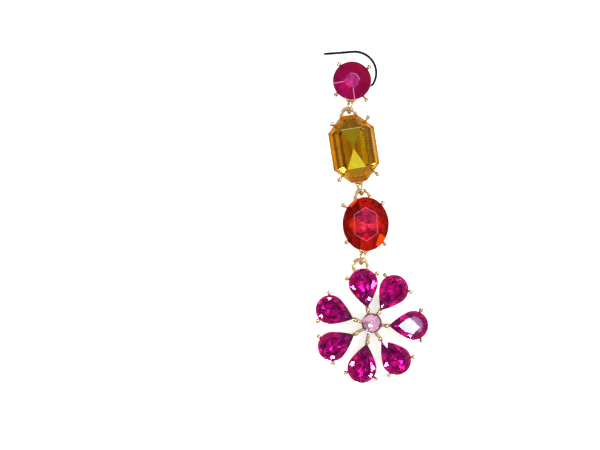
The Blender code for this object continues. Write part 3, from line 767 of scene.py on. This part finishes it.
def foil(name, color, rough):
    """The mirrored back of a stone."""
    made, nodes, links, shader = new_material(name)
    shader.inputs["Metallic"].default_value = 1.0
    mottled = noise_mix(nodes, links, 700, tuple(0.92 * c for c in color), color)
    links.new(tinted(nodes, links, mottled), shader.inputs["Base Color"])
    links.new(noise_mix(nodes, links, 500, grey(rough * 0.7), grey(rough)), shader.inputs["Roughness"])
    return made


def opaque_color(name, color, shine=0.5):
    """An opaque colour, for the painted highlights along edges, the girdle's band and the painted flashes on
    facets.
    """
    made, nodes, links, shader = new_material(name)
    shader.inputs["Specular IOR Level"].default_value = shine
    mottled = noise_mix(nodes, links, 4000, tuple(0.8 * c for c in color), color)
    links.new(mottled, shader.inputs["Base Color"])
    shader.inputs["Roughness"].default_value = 0.25
    return made


GOLD_RIM = (0.35, 0.22, 0.12)
BEAD_SHADED_RIM = (0.16, 0.09, 0.05)
STEEL_RIM = (0.03, 0.03, 0.05)
# The gold has painted shade on its steep sides; the beads get a darker copy of it, with heavy painted shade
# on their sides and a darker rim, to give them dark outlines
gold = metal("gold_plate", (0.60, 0.41, 0.21), (0.88, 0.69, 0.43), GOLD_RIM, 0.1, 0.22, 0.15, 0.6)
shaded_bead_gold = metal("shaded_bead_gold", (0.38, 0.26, 0.14), (0.72, 0.56, 0.36), BEAD_SHADED_RIM, 0.06, 0.15, 0.05, 0.12)
steel = metal("dark_wire", (0.006, 0.007, 0.016), (0.018, 0.020, 0.036), STEEL_RIM, 0.22, 0.36, 0.1)

# The finishes of each kind of stone, in the order of its slots; the third is the colour of the painted
# highlights along edges
CRIMSON = (
    glass("crimson_glass", (0.82, 0.006, 0.24), (0.9, 0.012, 0.35), (1.0, 0.05, 0.3)),
    foil("crimson_foil", (1.0, 0.95, 1.0), 0.4),
    opaque_color("crimson_edge_glint", (0.90, 0.26, 0.55)),
    opaque_color("crimson_band", (0.20, 0.004, 0.05)),
    glass("crimson_table_glass", (0.85, 0.01, 0.30), (1.0, 0.03, 0.55), (0.9, 0.45, 0.85), 0.25),
)
MAGENTA = (
    glass("magenta_glass", (0.78, 0.006, 0.30), (0.88, 0.012, 0.42), (1.0, 0.22, 0.75)),
    foil("magenta_foil", (1.0, 0.95, 1.0), 0.2),
    opaque_color("magenta_edge_glint", (0.60, 0.16, 0.45)),
    opaque_color("magenta_band", (0.20, 0.004, 0.08)),
    glass("magenta_sheen_glass", (0.92, 0.02, 0.46), (1.0, 0.03, 0.62), (0.9, 1.0, 1.0), 0.0, 1.9, 1.0),
)
AMBER = (
    glass("amber_glass", (0.96, 0.72, 0.03), (1.0, 0.86, 0.06), (1.0, 0.75, 0.2)),
    foil("amber_foil", (1.0, 0.98, 0.9), 0.16),
    opaque_color("amber_edge_glint", (0.70, 0.60, 0.38)),
    opaque_color("amber_band", (0.40, 0.20, 0.02)),
    foil("amber_soft_foil", (1.0, 0.9, 0.7), 0.7),
)
RED = (
    glass("red_glass", (0.94, 0.10, 0.010), (1.0, 0.16, 0.016), (1.0, 0.08, 0.05)),
    foil("red_foil", (1.0, 0.95, 0.95), 0.3),
    opaque_color("red_edge_glint", (0.60, 0.22, 0.34)),
    opaque_color("red_band", (0.30, 0.01, 0.005)),
    glass("rose_table_glass", (0.80, 0.005, 0.03), (0.92, 0.013, 0.09), (0.7, 0.25, 0.55), 0.22),
    # A painted orange flash for two facets of the oval
    opaque_color("red_painted_flash", (0.80, 0.055, 0.002), 0.0),
)
PINK = (
    glass("pink_glass", (1.0, 0.64, 0.84), (1.0, 0.84, 0.96), (1.0, 0.9, 1.0)),
    foil("pink_foil", (1.0, 0.98, 1.0), 0.12),
    opaque_color("pink_edge_glint", (0.7, 0.6, 0.66)),
    opaque_color("pink_band", (0.50, 0.26, 0.36)),
)


# Settings and stones


def make_main(name, cup, prongs, half_length, base, stone_mesh, finishes):
    place = node_place(f"{name}_stone", base, LEANS[name])
    bm = bmesh.new()
    cup.add_wall(bm, Matrix())
    for angle, share in prongs:
        cup.add_prong(bm, math.radians(angle), share, Matrix())
    lift = ROUND_LOOP_LIFT if name == "round" else LOOP_HEIGHT
    aside = -OVAL_LOOPS_LEFT if name == "oval" else 0
    bottom = Matrix.Translation((aside, BOTTOM_LOOP_INSET - half_length, lift))
    add_torus(bm, (BOTTOM_LOOP_DIAMETER - BOTTOM_LOOP_WIRE) / 2, BOTTOM_LOOP_WIRE, bottom)
    if name == "round":
        add_back_loop(bm, cup)
    else:
        top = Matrix.Translation((aside, half_length, LOOP_HEIGHT))
        add_torus(bm, (TOP_LOOP_DIAMETER - TOP_LOOP_WIRE) / 2, TOP_LOOP_WIRE, top)
    mesh = shaded(bm, f"{name}_setting_fine")
    dress(f"{name}_setting_fine", mesh, f"{name}_setting", (gold, shaded_bead_gold), place)
    dress(f"{name}_stone_cut", stone_mesh, f"{name}_stone", finishes, place)


def hook_run_height():
    """How far up the hook's straight run behind the round stone is, from the stone's middle."""
    return HOOK_CENTER_UP + (HOOK_RADIUS - HOOK_TURN) * math.sin(HOOK_ARC_END) - HOOK_TURN


def add_back_loop(bm, cup):
    leg_top = (cup.culet - STONE_GAP) / 2
    drop = EYE_HEIGHT - ROUND_BASE
    y = hook_run_height()
    path = [Vector((0, y + BACK_LOOP_RADIUS, leg_top))]
    for i in range(25):
        bend = BACK_LOOP_RADIUS * way(-math.pi * i / 24)
        path.append(Vector((0, y + bend.x, drop + bend.y)))
    path.append(Vector((0, y - BACK_LOOP_RADIUS, leg_top)))
    add_tube(bm, path, [BACK_LOOP_WIRE / 2 * BACK_LOOP_SHARE] * len(path), sides=14)


def arc(center, radius, start, end, steps):
    angles = [start + (end - start) * i / steps for i in range(steps + 1)]
    return [center + radius * way(a) for a in angles]


def make_hook():
    start = math.pi / 2 + HOOK_TAIL_RISE
    center = Vector((HOOK_CENTER_RIGHT, HOOK_CENTER_UP))
    bend = arc(center, HOOK_RADIUS, start, HOOK_ARC_END, 60)
    tail_way = way(HOOK_TAIL_RISE)
    tail = [bend[0] - tail_way * HOOK_TAIL * (1 - i / 6) for i in range(6)]
    turn_center = center + (HOOK_RADIUS - HOOK_TURN) * way(HOOK_ARC_END)
    turn = arc(turn_center, HOOK_TURN, HOOK_ARC_END, -math.pi / 2, 12)[1:]
    run = Vector((0, hook_run_height()))
    eye_center = run + Vector((0, HOOK_EYE_RADIUS))
    eye = arc(eye_center, HOOK_EYE_RADIUS, -math.pi / 2, -math.pi / 2 - HOOK_EYE_TURN, 40)
    path = [Vector((*(p - run), 0)) for p in tail + bend + turn + eye]
    bm = bmesh.new()
    add_tube(bm, path, [HOOK_WIRE / 2 * HOOK_WIRE_SHARE] * len(path), sides=16)
    tilt = -math.asin((EYE_HEIGHT - HOOK_WIRE / 2) / (HOOK_CENTER_UP + HOOK_RADIUS - run.y))
    low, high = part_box("round_stone")
    middle = (low + high) / 2
    hinge = Matrix.Translation((middle.x, middle.y + run.y * MM, EYE_HEIGHT * MM))
    place = hinge @ Matrix.Rotation(tilt, 4, "X")
    dress("ear_hook_wire", shaded(bm, "ear_hook_wire"), "ear_hook", (steel,), place)


def make_rings():
    for index, lean in enumerate(RING_LEANS):
        low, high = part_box(f"jump_ring_{index + 1}")
        rise = ROUND_BASE + ROUND_LOOP_LIFT - LOOP_HEIGHT if index == 0 else 0.0
        level_run = math.sqrt((2 * RING_RADIUS) ** 2 - rise**2)
        along = Vector((-math.sin(lean) * level_run, math.cos(lean) * level_run, rise)).normalized()
        level = along.cross(Vector((0, 0, 1))).normalized()
        across = level * math.cos(RING_TILT) + level.cross(along) * math.sin(RING_TILT)
        turn = Matrix((across, along, across.cross(along))).transposed().to_4x4()
        bm = bmesh.new()
        add_torus(bm, RING_RADIUS, RING_WIRE, Matrix(), nick=RING_NICK)
        place = Matrix.Translation((low + high) / 2) @ turn
        name = f"jump_ring_{index + 1}_round"
        dress(name, shaded(bm, name), f"jump_ring_{index + 1}", (gold,), place)


def petal_way(index):
    return Matrix.Rotation(math.radians(PETAL_TURNS[index]) - 2 * math.pi * index / PETAL_COUNT, 4, "Z")


def petal_place(index):
    out = PETAL_TIP_RADIUS + PETAL_LENGTH - PETAL_WIDTH / 2
    return petal_way(index) @ Matrix.Translation((0, out, 0))


def add_stem(bm, turn):
    """The bar from the middle cup's wall to a petal's cup."""
    foot = CENTER_DIAMETER / 2 - CENTER_FOOT_INSET - CUP_WALL / 2
    middle = Vector((CENTER_RIGHT, CENTER_UP, 0))
    along = (turn @ Vector((0, 1, 0))).dot(middle)
    inner = along + math.sqrt(foot**2 - middle.length_squared + along**2)
    outer = PETAL_TIP_RADIUS + PETAL_LENGTH / 4
    rings = []
    for y in (inner, (inner + outer) / 2, outer):
        ring = []
        for i in range(16):
            a = 2 * math.pi * i / 16
            c, s = math.cos(a), math.sin(a)
            x = STEM_WIDTH / 2 * math.copysign(abs(c) ** STEM_SQUARENESS, c)
            z = STEM_HEIGHT / 2 * math.copysign(abs(s) ** STEM_SQUARENESS, s)
            ring.append(turn @ Vector((x, y, STEM_LIFT + STEM_HEIGHT / 2 + z)))
        rings.append(ring)
    add_loft(bm, rings)


def add_inner_prong(bm, cup, turn):
    """The upright prong at a petal's tip."""
    y = pear_outline()[0].y - PRONG_REACH
    foot = Vector((0, y, STEM_LIFT + STEM_HEIGHT / 2))
    head = Vector((0, y, cup.top + PRONG_RISE))
    add_tube(bm, [turn @ p for p in (foot, (foot + head) / 2, head)], INNER_PRONG_RADII, sides=10)
    add_bead(bm, turn @ head)


def make_flower():
    """The flower's casting and stones; gives the petals' flashes in the frame's metres."""
    middle_place = node_place("center_stone", 0, LEANS["flower"])
    place = middle_place @ Matrix.Translation((-CENTER_RIGHT * MM, -CENTER_UP * MM, 0))
    core_outline = round_outline(CENTER_DIAMETER)
    core = Cup(core_outline, FLOWER_CUP_HEIGHT, CENTER_FOOT_INSET, CENTER_FLARE, CENTER_DIAMETER / 2)
    petal = Cup(pear_outline, FLOWER_CUP_HEIGHT, PETAL_FOOT_INSET, PETAL_FLARE, PETAL_WIDTH / 2)
    sparkles = []
    bm = bmesh.new()
    core.add_wall(bm, Matrix.Translation((CENTER_RIGHT, CENTER_UP, 0)))
    loop = petal_way(0) @ Matrix.Translation((0, FLOWER_LOOP_RADIUS, LOOP_HEIGHT))
    add_torus(bm, (TOP_LOOP_DIAMETER - TOP_LOOP_WIRE) / 2, TOP_LOOP_WIRE, loop)
    for i in range(PETAL_COUNT):
        turn = petal_place(i)
        petal.add_wall(bm, turn)
        add_stem(bm, petal_way(i))
        for angle in (math.pi / 2 - PETAL_PRONG_ANGLE, math.pi / 2 + PETAL_PRONG_ANGLE):
            petal.add_prong(bm, angle, 1.0, turn)
        add_inner_prong(bm, petal, turn)
        mesh, flashes = cut_petal(petal, i + 1)
        turn.translation *= MM
        stone_place = place @ turn
        spin = stone_place.to_euler().z
        for point, a, tilt, size in flashes:
            sparkles.append((stone_place @ (point * MM), a + spin, tilt, size))
        node = f"petal_stone_{i + 1}"
        dress(f"{node}_cut", mesh, node, MAGENTA, stone_place)
    mesh = shaded(bm, "flower_frame_fine")
    dress("flower_frame_fine", mesh, "flower_frame", (gold, shaded_bead_gold), place)
    mesh = cut_center(core)
    dress("center_stone_cut", mesh, "center_stone", PINK, middle_place)
    return sparkles


def make_mains():
    form = (MAIN_FOOT_INSET, MAIN_FLARE)
    half = ROUND_DIAMETER / 2
    cup = Cup(round_outline(ROUND_DIAMETER), ROUND_CUP_HEIGHT, *form, half)
    make_main("round", cup, ROUND_PRONGS, half, ROUND_BASE, cut_round(cup), CRIMSON)
    half = OCTAGON_LENGTH / 2
    cup = Cup(octagon_outline, MAIN_CUP_HEIGHT, *form, OCTAGON_WIDTH / 2)
    make_main("octagon", cup, OCTAGON_PRONGS, half, 0, cut_octagon(cup), AMBER)
    half = OVAL_LENGTH / 2
    cup = Cup(oval_stone_outline, MAIN_CUP_HEIGHT, *form, OVAL_WIDTH / 2)
    make_main("oval", cup, OVAL_PRONGS, half, 0, cut_oval(cup), RED)


make_mains()
make_rings()
make_hook()
petal_sparkles = make_flower()


# Floor, light and camera

PIXEL = 0.000265
PICTURE_WIDTH = 600
PICTURE_HEIGHT = 450
ROUND_STONE_SPOT = (352, 80.8)
CAMERA_HEIGHT = 1.0
STONE_HEIGHT = 0.005
SENSOR_WIDTH = 36.0
FLOOR_SIZE = 3.0

# Heights and brightnesses of the sky, from the horizon to straight above
SKY = ((0.05, 0.3), (0.3, 0.6), (0.55, 1.0), (0.972, 1.0), (0.988, 0.12))

# Studio lights, aimed at the frame's origin: place and sides in metres, and power
STUDIO_LIGHTS = {
    "key": ((0.40, 0.47, 0.30), (0.14, 0.14), 2.6),
    "side": ((0.49, -0.06, 0.35), (0.08, 0.12), 1.0),
    "left": ((-0.55, 0.2, 0.18), (0.06, 0.1), 1.0),
    "front": ((-0.1, -0.42, 0.36), (0.08, 0.06), 1.0),
}

# Small lights mirrored by level tables: the place in the picture in pixels, its height and the light's
# sides in millimetres, its power and colour
TABLE_SHEENS = {
    "petal_sheen": ((406, 325), 5.2, (5.4, 8), 0.0013, (0.85, 0.97, 1.0)),
    "petal_sheen_end": ((418.5, 325), 5.2, (4, 8), 0.0003, (0.6, 0.6, 0.9)),
    "oval_veil": ((367, 210), 7.2, (14, 8), 0.0012, (0.7, 0.5, 1.0)),
    "round_veil": ((351, 79), 7.8, (6, 6), 0.0006, (0.7, 0.5, 1.0)),
    "middle_sheen": ((370.5, 325.5), 4.9, (1.2, 1.2), 0.00015, WHITE),
}

# Small lights mirrored by the amber stone's lower corners: as above, with the facet's direction
# in degrees in place of the colour
AMBER_FLASHES = {
    "amber_flash_left": ((340, 166), 6.6, (5, 8), 0.004, 234),
    "amber_flash_right": ((377, 161), 6.6, (4, 6), 0.003, 324),
}
AMBER_FLASH_TILT = math.radians(26)
AMBER_FLASH_COLOR = (1.0, 0.95, 0.7)
SPARKLE_POWER = 0.0003
GLINT_DISTANCE = 0.3


def make_floor():
    bpy.ops.mesh.primitive_plane_add(size=FLOOR_SIZE, location=(0, 0, 0))
    floor = bpy.context.object
    floor.name = "floor"
    made, nodes, links, shader = new_material("floor_white")
    links.new(noise_mix(nodes, links, 40, grey(0.90), grey(0.92)), shader.inputs["Base Color"])
    shader.inputs["Roughness"].default_value = 0.6
    shader.inputs["Emission Color"].default_value = (1, 1, 1, 1)
    shader.inputs["Emission Strength"].default_value = 0.55
    floor.data.materials.append(made)


def make_light(name, location, target, size, power, color=WHITE):
    light = bpy.data.lights.new(name, "AREA")
    light.shape = "RECTANGLE"
    light.size, light.size_y = size
    light.energy = power
    light.color = color
    obj = bpy.data.objects.new(name, light)
    bpy.context.scene.collection.objects.link(obj)
    obj.location = location
    obj.rotation_euler = (Vector(target) - Vector(location)).to_track_quat("-Z", "Y").to_euler()
    obj.visible_camera = False


def make_world():
    """A bright sky round a small dark patch straight above, dimmer at the horizon and on the left."""
    world = bpy.data.worlds.new("studio")
    bpy.context.scene.world = world
    world.use_nodes = True
    nodes, links = world.node_tree.nodes, world.node_tree.links
    place = nodes.new("ShaderNodeTexCoord")
    split = nodes.new("ShaderNodeSeparateXYZ")
    links.new(place.outputs["Generated"], split.inputs["Vector"])
    height = nodes.new("ShaderNodeValToRGB")
    ramp = height.color_ramp
    while len(ramp.elements) < len(SKY):
        ramp.elements.new(0.5)
    for element, (position, value) in zip(ramp.elements, SKY):
        element.position = position
        element.color = (value, value, value, 1)
    links.new(split.outputs["Z"], height.inputs["Fac"])
    side = nodes.new("ShaderNodeMapRange")
    side.inputs["From Min"].default_value = -0.7
    side.inputs["From Max"].default_value = 0.5
    side.inputs["To Min"].default_value = 0.6
    side.inputs["To Max"].default_value = 1.0
    links.new(split.outputs["X"], side.inputs["Value"])
    color = multiplied(nodes, links, height.outputs["Color"], side.outputs["Result"])
    links.new(color, nodes["Background"].inputs["Color"])
    nodes["Background"].inputs["Strength"].default_value = 1.2


def off_middle(x, y):
    """From the picture's middle to a pixel, in metres at the stones' height."""
    return Vector(((x - PICTURE_WIDTH / 2) * PIXEL, (PICTURE_HEIGHT / 2 - y) * PIXEL))


def make_camera():
    low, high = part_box("round_stone")
    data = bpy.data.cameras.new("camera")
    data.sensor_width = SENSOR_WIDTH
    data.lens = SENSOR_WIDTH * (CAMERA_HEIGHT - STONE_HEIGHT) / (PICTURE_WIDTH * PIXEL)
    camera = bpy.data.objects.new("camera", data)
    bpy.context.scene.collection.objects.link(camera)
    camera.location = (*(((low + high) / 2).xy - off_middle(*ROUND_STONE_SPOT)), CAMERA_HEIGHT)
    bpy.context.scene.camera = camera


def spot(place, height):
    """The point at this height, in millimetres, that the camera sees at this pixel of the picture."""
    camera = bpy.context.scene.camera.location
    share = (CAMERA_HEIGHT - height * MM) / (CAMERA_HEIGHT - STONE_HEIGHT)
    return Vector((*(camera.xy + off_middle(*place) * share), height * MM))


def make_glint(name, target, tilt, tilt_way, size, power, color):
    """A small light that the facet at target, tilted this much, mirrors to the camera."""
    normal = Vector((*(way(tilt_way) * math.sin(tilt)), math.cos(tilt)))
    seen = (target - bpy.context.scene.camera.location).normalized()
    location = target + seen.reflect(normal) * GLINT_DISTANCE
    make_light(name, location, target, [side * MM for side in size], power, color)


make_floor()
make_world()
make_camera()
for name, (location, size, power) in STUDIO_LIGHTS.items():
    make_light(name, location, (0, 0, 0), size, power)
for name, (place, height, size, power, color) in TABLE_SHEENS.items():
    make_glint(name, spot(place, height), 0, 0, size, power, color)
for number, (point, a, tilt, size) in enumerate(petal_sparkles):
    make_glint(f"sparkle_{number}", point, tilt, a, (size, size), SPARKLE_POWER * size**2, WHITE)
for name, (place, height, size, power, direction) in AMBER_FLASHES.items():
    a = math.radians(direction)
    make_glint(name, spot(place, height), AMBER_FLASH_TILT, a, size, power, AMBER_FLASH_COLOR)
bpy.context.scene.view_settings.view_transform = "Standard"
